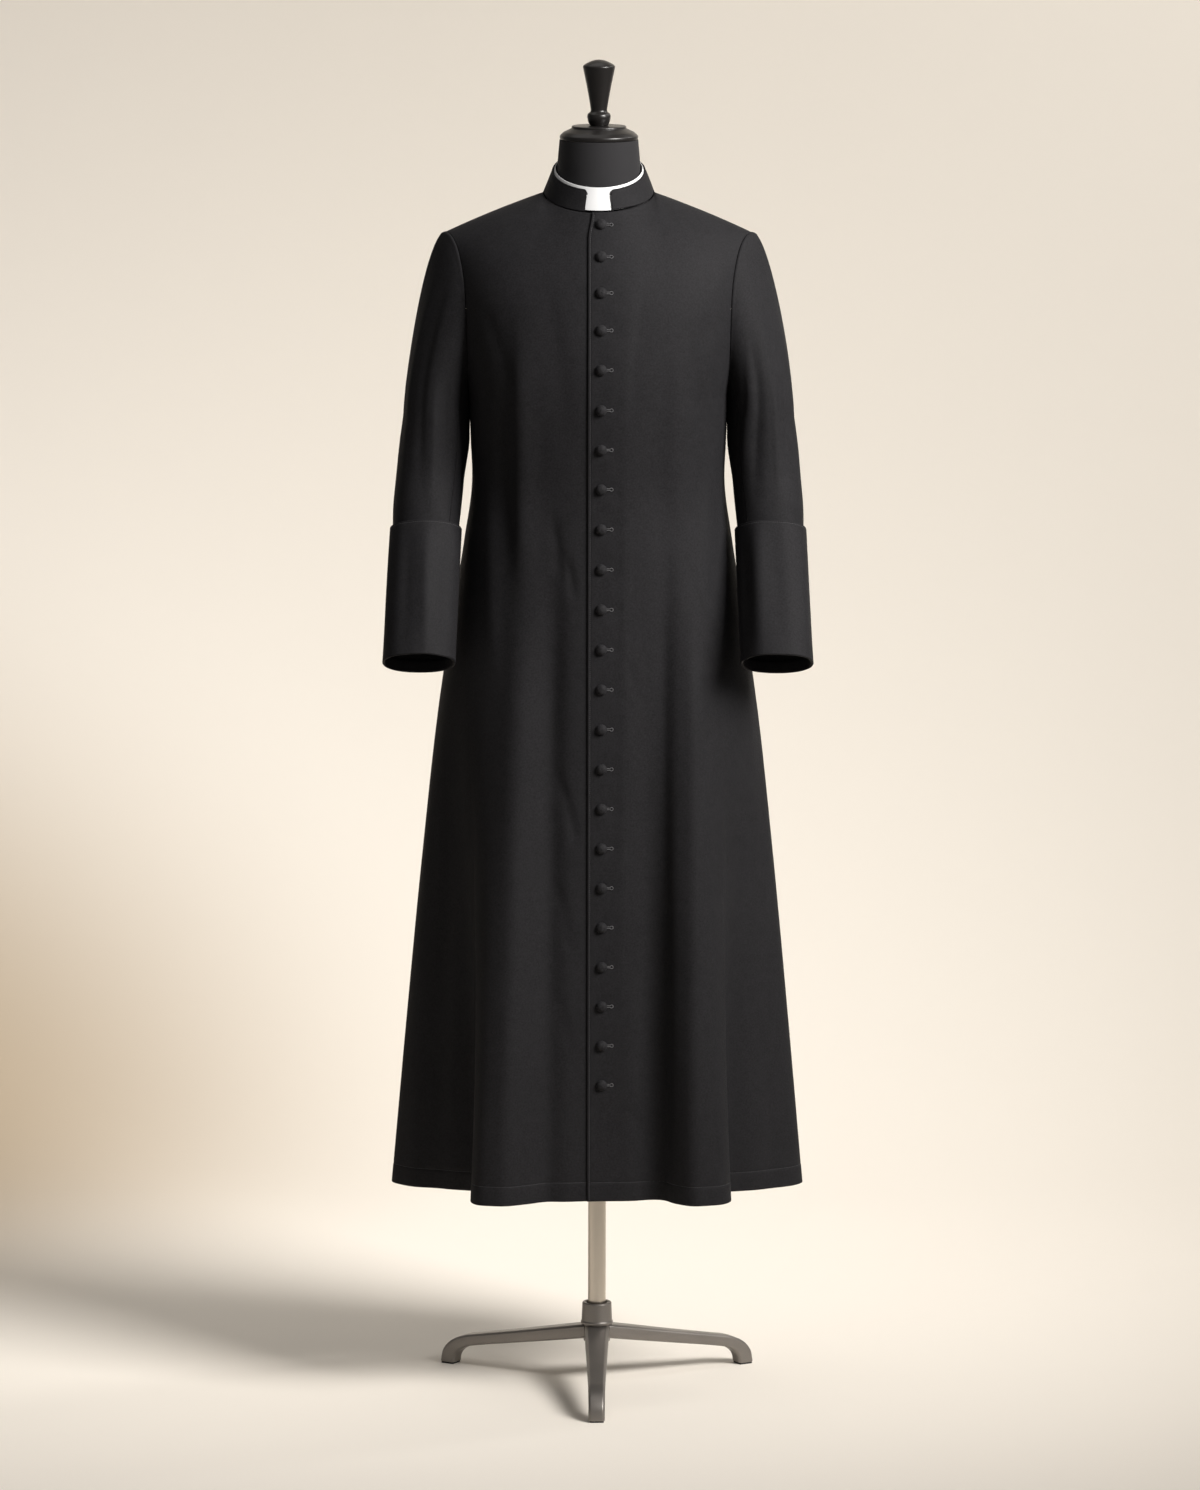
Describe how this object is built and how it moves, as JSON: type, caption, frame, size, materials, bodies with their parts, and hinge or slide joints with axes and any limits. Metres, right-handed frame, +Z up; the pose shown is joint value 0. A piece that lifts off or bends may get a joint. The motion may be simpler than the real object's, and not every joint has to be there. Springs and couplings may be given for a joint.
{
  "type": "cassock on dress form",
  "caption": "Ankle-length black cassock with turned-back cuffs, standing collar with white insert and a row of covered buttons, on a limbless dress form with pole and three-legged stand.",
  "frame": {"origin": "on the floor under the middle of the pole, at the centre of the bounding box's bottom", "axes": "+Z up, the garment's front faces -Y, the wearer's left is at +X"},
  "size_m": [0.6308, 0.5346, 1.978],
  "materials": {
    "wool": "near-black fine wool twill, matt with a soft sheen",
    "wool_button": "the same black wool drawn over a domed button",
    "white_band": "stiffened smooth white cotton, slightly glossy",
    "form_cover": "fine black cover cloth",
    "black_lacquer": "satin black lacquer",
    "nickel": "warm satin nickel",
    "coated_steel": "dark grey satin metallic coating",
    "rubber": "matt black"
  },
  "bodies": {
    "root": {"front_left": "wool", "front_right": "wool", "back_left": "wool", "back_right": "wool", "sleeve_left_top": "wool", "sleeve_left_under": "wool", "sleeve_right_top": "wool", "sleeve_right_under": "wool", "cuff_left": "wool", "cuff_right": "wool", "collar": "wool", "collar_insert": "white_band", "button_01": "wool_button", "button_02": "wool_button", "button_03": "wool_button", "button_04": "wool_button", "button_05": "wool_button", "button_06": "wool_button", "button_07": "wool_button", "button_08": "wool_button", "button_09": "wool_button", "button_10": "wool_button", "button_11": "wool_button", "button_12": "wool_button", "button_13": "wool_button", "button_14": "wool_button", "button_15": "wool_button", "button_16": "wool_button", "button_17": "wool_button", "button_18": "wool_button", "button_19": "wool_button", "button_20": "wool_button", "button_21": "wool_button", "button_22": "wool_button", "button_23": "wool_button", "form_torso": "form_cover", "neck_cap": "black_lacquer", "neck_handle": "black_lacquer", "pole": "nickel", "base_hub": "coated_steel", "base_leg_1": "coated_steel", "base_leg_2": "coated_steel", "base_leg_3": "coated_steel", "foot_pad_1": "rubber", "foot_pad_2": "rubber", "foot_pad_3": "rubber"}
  },
  "joints": []
}
